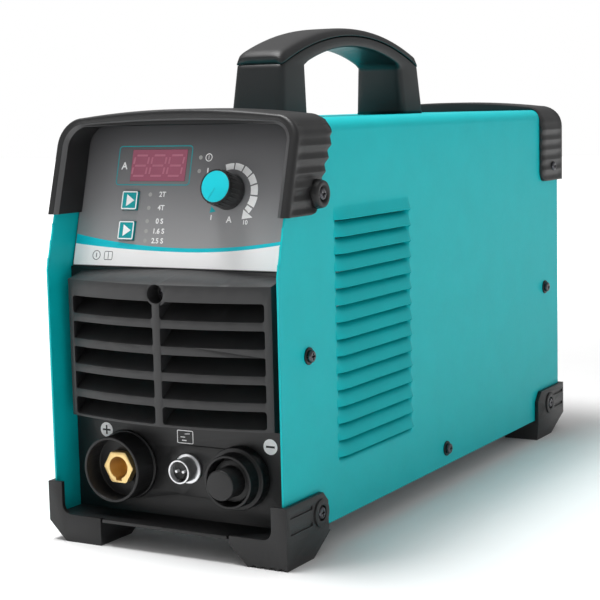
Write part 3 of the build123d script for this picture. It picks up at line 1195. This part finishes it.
def winding(x, y, width, stack, height, leg):
    """Coil round the centre leg of a core of the same sizes."""
    z0 = EDGE_Z + TRAY_SHEET
    window = (width - 2 * leg) / 2 - 1
    outer_x = leg / 2 + window
    outer_y = stack / 2 + window
    coil = block(x - outer_x, x + outer_x, y - outer_y, y + outer_y, z0 + leg / 2 + 1, z0 + height - leg / 2 - 1)
    coil = fillet(coil.edges().filter_by(Axis.Z), window * 0.8)
    return coil - block(x - leg / 2, x + leg / 2, y - stack / 2, y + stack / 2, z0, z0 + height)


TRANSFORMER = dict(x=0, y=172, width=84, stack=40, height=74, leg=24)
CHOKE = dict(x=-40, y=96, width=60, stack=30, height=62, leg=18)


def hf_coil():
    """Potted high-frequency starting coil in line with the torch outlet."""
    z0 = EDGE_Z + TRAY_SHEET
    ring = rod(25.5, (TORCH_X - 2, 97, z0), 46, "z") - rod(11, (TORCH_X - 2, 97, z0 - 1), 60, "z")
    return fillet(ring.edges().filter_by(GeomType.CIRCLE).sort_by(Axis.Z)[-2:], 3)


def bus_strip(x, top_z, y_end):
    """Copper strip from a socket's stub, up and back to a coil's top."""
    half = STRIP_W / 2
    upright = block(x - half, x + half, STRIP_Y, STRIP_Y + STRIP_T, SOCKET_Z - half, top_z + STRIP_T)
    flat = block(x - half, x + half, STRIP_Y, y_end, top_z, top_z + STRIP_T)
    return upright + flat - rod(STUB_R + NUT_GAP, (x, STRIP_Y - 1, SOCKET_Z), STRIP_T + 2, "y")


def bus_strips():
    """Strips that carry the welding current to the two sockets."""
    z0 = EDGE_Z + TRAY_SHEET
    plus = bus_strip(PLUS_X, z0 + CHOKE["height"], 100)
    minus = bus_strip(TORCH_X, z0 + 46, 84)
    return group([plus, minus])


NODES = {
    "cover": cover(), "base_tray": base_tray(), "front_panel": front_panel(), "air_grille": air_grille(),
    "control_label": control_label(), "display_window": display_window(), "display_module": display_module(),
    "status_leds": status_leds(), "mode_button": button_cap(BUTTON_V[0]), "cycle_button": button_cap(BUTTON_V[1]),
    "tact_switches": tact_switches(), "control_board": control_board(), "board_spacers": board_spacers(),
    "potentiometer": potentiometer(), "knob_shaft": knob_shaft(), "current_knob": current_knob(),
    "knob_cap": knob_cap(), "front_guard": front_guard(), "rear_guard": rear_guard(),
    "front_foot_right": front_foot(False), "front_foot_left": mirror(front_foot(True), about=Plane.YZ),
    "rear_foot_right": rear_foot(), "rear_foot_left": mirror(rear_foot(), about=Plane.YZ),
    "panel_screws": panel_screws(), "screw_washers": screw_washers(), "clip_nuts": clip_nuts(),
    "handle_frame": handle_frame(), "handle_grip": handle_grip(),
    "plus_socket_body": socket_body(PLUS_X, PLUS_FRONT, PLUS_R, PLUS_BASE_R, SOCKET_Y - 2, SOCKET_Y, INSERT_R),
    "plus_socket_insert": plus_socket_insert(),
    "torch_outlet_body": socket_body(TORCH_X, TORCH_FRONT, TORCH_R, TORCH_BASE_R, TORCH_BASE_FRONT,
                                     SOCKET_Y - BOSS_RISE, INSERT_R),
    "torch_outlet_insert": torch_outlet_insert(), "panel_nuts": panel_nuts(), "outlet_cap": outlet_cap(),
    "connector_shell": connector_shell(), "connector_insulator": connector_insulator(),
    "connector_pins": connector_pins(), "rear_panel": rear_panel(), "fan_frame": fan_frame(),
    "fan_rotor": fan_rotor(), "fan_guard": fan_guard(), "fan_screws": fan_screws(),
    "switch_housing": switch_housing(), "switch_rocker": switch_rocker(), "cable_gland": cable_gland(),
    "gas_inlet": gas_inlet(), "gas_valve": gas_valve(), "gas_hose": gas_hose(), "earth_stud": earth_stud(),
    "power_board": power_board(), "board_pillars": board_pillars(),
    "heat_sinks": group([heat_sink(-1), heat_sink(1)]), "power_modules": power_modules(),
    "bulk_capacitors": bulk_capacitors(), "transformer_core": wound_core(**TRANSFORMER),
    "transformer_winding": winding(**TRANSFORMER), "choke_core": wound_core(**CHOKE),
    "choke_winding": winding(**CHOKE), "hf_coil": hf_coil(), "bus_strips": bus_strips(),
}

for name, shape in NODES.items():
    export_step(place(shape), f"parts/{name}.step")
print(f"{len(NODES)} nodes written")
